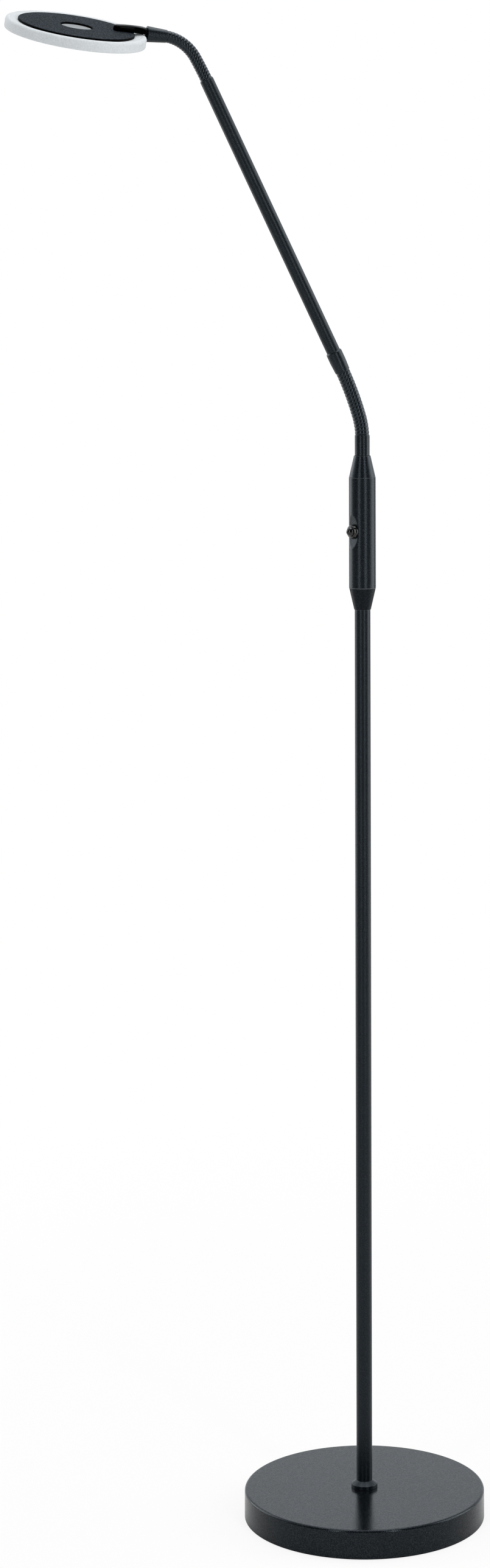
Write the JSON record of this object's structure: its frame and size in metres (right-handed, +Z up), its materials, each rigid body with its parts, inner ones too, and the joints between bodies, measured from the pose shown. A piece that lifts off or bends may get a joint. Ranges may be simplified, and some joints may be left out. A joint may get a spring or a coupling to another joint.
{
  "type": "gooseneck reading floor lamp",
  "caption": "Reading floor lamp: round weighted base, straight pole, push-button hand grip, two goosenecks with an arm between them and a flat disc head.",
  "frame": {"origin": "centre of the foam pad's underside, on the floor under the pole", "axes": "+Z up along the pole; the arm and the head lean towards -X; the cord inlet faces +X"},
  "size_m": [0.4649, 0.23, 1.4449],
  "materials": {
    "satin_black_coat": "satin black powder coat with a fine texture",
    "satin_black_aluminium": "satin black powder coat on aluminium",
    "gloss_black_metal": "gloss black lacquer",
    "gloss_black_plastic": "gloss black moulded plastic",
    "frosted_acrylic": "frosted white acrylic, satin",
    "cast_iron": "rough as cast",
    "zinc_steel": "zinc plated",
    "black_rubber": "matt",
    "cable_sheath": "smooth sheath",
    "circuit_board": "green solder mask",
    "white_board": "white solder mask on aluminium",
    "component_black": "moulded",
    "led_lens": "yellow phosphor",
    "switch_plastic": "natural nylon"
  },
  "bodies": {
    "stand": {"base_pad": "black_rubber", "base_plate": "zinc_steel", "plate_screws": "zinc_steel", "base_weight": "cast_iron", "base_shell": "satin_black_coat", "base_nipple": "zinc_steel", "base_washer": "zinc_steel", "base_nut": "zinc_steel", "base_collar": "satin_black_coat", "cord_grommet": "black_rubber", "cord_clamp": "switch_plastic", "clamp_screws": "zinc_steel", "pole_tube": "satin_black_coat", "pole_foot_bush": "zinc_steel", "supply_cable": "cable_sheath", "handle_lower_cone": "satin_black_aluminium", "handle_tube": "satin_black_aluminium", "handle_upper_cone": "satin_black_aluminium", "driver_board": "circuit_board", "driver_parts": "component_black", "switch_bezel": "gloss_black_plastic", "switch_body": "component_black", "handle_cable": "cable_sheath", "lower_ferrule": "satin_black_aluminium"},
    "button": {"switch_button": "gloss_black_plastic", "switch_plunger": "switch_plastic"},
    "lower_turn_1": {"lower_turn_1": "satin_black_coat"},
    "lower_turn_2": {"lower_turn_2": "satin_black_coat"},
    "lower_turn_3": {"lower_turn_3": "satin_black_coat"},
    "lower_turn_4": {"lower_turn_4": "satin_black_coat"},
    "lower_turn_5": {"lower_turn_5": "satin_black_coat"},
    "lower_turn_6": {"lower_turn_6": "satin_black_coat"},
    "lower_turn_7": {"lower_turn_7": "satin_black_coat"},
    "lower_turn_8": {"lower_turn_8": "satin_black_coat"},
    "lower_turn_9": {"lower_turn_9": "satin_black_coat"},
    "arm": {"arm_sleeve": "satin_black_aluminium", "arm_tube": "satin_black_coat", "arm_plug": "satin_black_aluminium", "arm_cable": "cable_sheath"},
    "upper_turn_1": {"upper_turn_1": "satin_black_coat"},
    "upper_turn_2": {"upper_turn_2": "satin_black_coat"},
    "upper_turn_3": {"upper_turn_3": "satin_black_coat"},
    "upper_turn_4": {"upper_turn_4": "satin_black_coat"},
    "upper_turn_5": {"upper_turn_5": "satin_black_coat"},
    "upper_turn_6": {"upper_turn_6": "satin_black_coat"},
    "upper_turn_7": {"upper_turn_7": "satin_black_coat"},
    "upper_turn_8": {"upper_turn_8": "satin_black_coat"},
    "upper_turn_9": {"upper_turn_9": "satin_black_coat"},
    "head": {"head_ferrule": "satin_black_aluminium", "head_bracket": "gloss_black_metal", "bracket_screw": "gloss_black_metal", "head_cover": "satin_black_aluminium", "head_diffuser": "frosted_acrylic", "led_board": "white_board", "leds": "led_lens", "board_screws": "zinc_steel"}
  },
  "joints": [
    {"name": "switch_press", "type": "slide", "parent": "stand", "child": "button", "axis": [0.9336, 0.3584, 0], "range_m": [0, 0.0015], "stiffness_N_per_m": 400, "springref_m": -0.001},
    {"name": "lower_gooseneck_pitch", "type": "hinge", "parent": "stand", "child": "lower_turn_1", "pos_m": [0, 0, 1.03965], "axis": [0, -1, 0], "range_deg": [-4.29, 5.71]},
    {"name": "lower_gooseneck_side", "type": "hinge", "parent": "lower_turn_1", "child": "lower_turn_2", "pos_m": [-0.00068, 0, 1.04667], "axis": [0.9954, 0, 0.0958], "range_deg": [-10, 10]},
    {"name": "lower_pitch_3", "type": "hinge", "parent": "lower_turn_2", "child": "lower_turn_3", "pos_m": [-0.00202, 0, 1.05359], "axis": [0, -1, 0], "range_deg": [-4.29, 5.71]},
    {"name": "lower_pitch_4", "type": "hinge", "parent": "lower_turn_3", "child": "lower_turn_4", "pos_m": [-0.00402, 0, 1.06035], "axis": [0, -1, 0], "range_deg": [-4.29, 5.71]},
    {"name": "lower_side_5", "type": "hinge", "parent": "lower_turn_4", "child": "lower_turn_5", "pos_m": [-0.00618, 0, 1.06706], "axis": [0.9519, 0, 0.3064], "range_deg": [-10, 10]},
    {"name": "lower_pitch_6", "type": "hinge", "parent": "lower_turn_5", "child": "lower_turn_6", "pos_m": [-0.0085, 0, 1.07372], "axis": [0, -1, 0], "range_deg": [-4.29, 5.71]},
    {"name": "lower_pitch_7", "type": "hinge", "parent": "lower_turn_6", "child": "lower_turn_7", "pos_m": [-0.01097, 0, 1.08032], "axis": [0, -1, 0], "range_deg": [-4.29, 5.71]},
    {"name": "lower_side_8", "type": "hinge", "parent": "lower_turn_7", "child": "lower_turn_8", "pos_m": [-0.0136, 0, 1.08686], "axis": [0.928, 0, 0.3725], "range_deg": [-10, 10]},
    {"name": "lower_pitch_9", "type": "hinge", "parent": "lower_turn_8", "child": "lower_turn_9", "pos_m": [-0.01638, 0, 1.09334], "axis": [0, -1, 0], "range_deg": [-4.29, 5.71]},
    {"name": "lower_pitch_10", "type": "hinge", "parent": "lower_turn_9", "child": "arm", "pos_m": [-0.01931, 0, 1.09975], "axis": [0, -1, 0], "range_deg": [-4.29, 5.71]},
    {"name": "upper_gooseneck_pitch", "type": "hinge", "parent": "arm", "child": "upper_turn_1", "pos_m": [-0.15528, 0, 1.37979], "axis": [0, -1, 0], "range_deg": [-8, 4]},
    {"name": "upper_gooseneck_side", "type": "hinge", "parent": "upper_turn_1", "child": "upper_turn_2", "pos_m": [-0.15814, 0, 1.38541], "axis": [0.8918, 0, 0.4524], "range_deg": [-10, 10]},
    {"name": "upper_pitch_3", "type": "hinge", "parent": "upper_turn_2", "child": "upper_turn_3", "pos_m": [-0.16109, 0, 1.39099], "axis": [0, -1, 0], "range_deg": [-8, 4]},
    {"name": "upper_pitch_4", "type": "hinge", "parent": "upper_turn_3", "child": "upper_turn_4", "pos_m": [-0.16414, 0, 1.39651], "axis": [0, -1, 0], "range_deg": [-8, 4]},
    {"name": "upper_side_5", "type": "hinge", "parent": "upper_turn_4", "child": "upper_turn_5", "pos_m": [-0.16729, 0, 1.40198], "axis": [0.8669, 0, 0.4985], "range_deg": [-10, 10]},
    {"name": "upper_pitch_6", "type": "hinge", "parent": "upper_turn_5", "child": "upper_turn_6", "pos_m": [-0.17125, 0, 1.40689], "axis": [0, -1, 0], "range_deg": [-8, 4]},
    {"name": "upper_pitch_7", "type": "hinge", "parent": "upper_turn_6", "child": "upper_turn_7", "pos_m": [-0.17595, 0, 1.41111], "axis": [0, -1, 0], "range_deg": [-8, 4]},
    {"name": "upper_side_8", "type": "hinge", "parent": "upper_turn_7", "child": "upper_turn_8", "pos_m": [-0.18124, 0, 1.41454], "axis": [0.5432, 0, 0.8396], "range_deg": [-10, 10]},
    {"name": "upper_pitch_9", "type": "hinge", "parent": "upper_turn_8", "child": "upper_turn_9", "pos_m": [-0.18702, 0, 1.41709], "axis": [0, -1, 0], "range_deg": [-8, 4]},
    {"name": "upper_pitch_10", "type": "hinge", "parent": "upper_turn_9", "child": "head", "pos_m": [-0.19312, 0, 1.41869], "axis": [0, -1, 0], "range_deg": [-8, 4]}
  ],
  "couplings": [
    {"joint": "lower_pitch_3", "follows": "lower_gooseneck_pitch", "ratio": 1},
    {"joint": "lower_pitch_4", "follows": "lower_gooseneck_pitch", "ratio": 1},
    {"joint": "lower_side_5", "follows": "lower_gooseneck_side", "ratio": 1},
    {"joint": "lower_pitch_6", "follows": "lower_gooseneck_pitch", "ratio": 1},
    {"joint": "lower_pitch_7", "follows": "lower_gooseneck_pitch", "ratio": 1},
    {"joint": "lower_side_8", "follows": "lower_gooseneck_side", "ratio": 1},
    {"joint": "lower_pitch_9", "follows": "lower_gooseneck_pitch", "ratio": 1},
    {"joint": "lower_pitch_10", "follows": "lower_gooseneck_pitch", "ratio": 1},
    {"joint": "upper_pitch_3", "follows": "upper_gooseneck_pitch", "ratio": 1},
    {"joint": "upper_pitch_4", "follows": "upper_gooseneck_pitch", "ratio": 1},
    {"joint": "upper_side_5", "follows": "upper_gooseneck_side", "ratio": 1},
    {"joint": "upper_pitch_6", "follows": "upper_gooseneck_pitch", "ratio": 1},
    {"joint": "upper_pitch_7", "follows": "upper_gooseneck_pitch", "ratio": 1},
    {"joint": "upper_side_8", "follows": "upper_gooseneck_side", "ratio": 1},
    {"joint": "upper_pitch_9", "follows": "upper_gooseneck_pitch", "ratio": 1},
    {"joint": "upper_pitch_10", "follows": "upper_gooseneck_pitch", "ratio": 1}
  ]
}
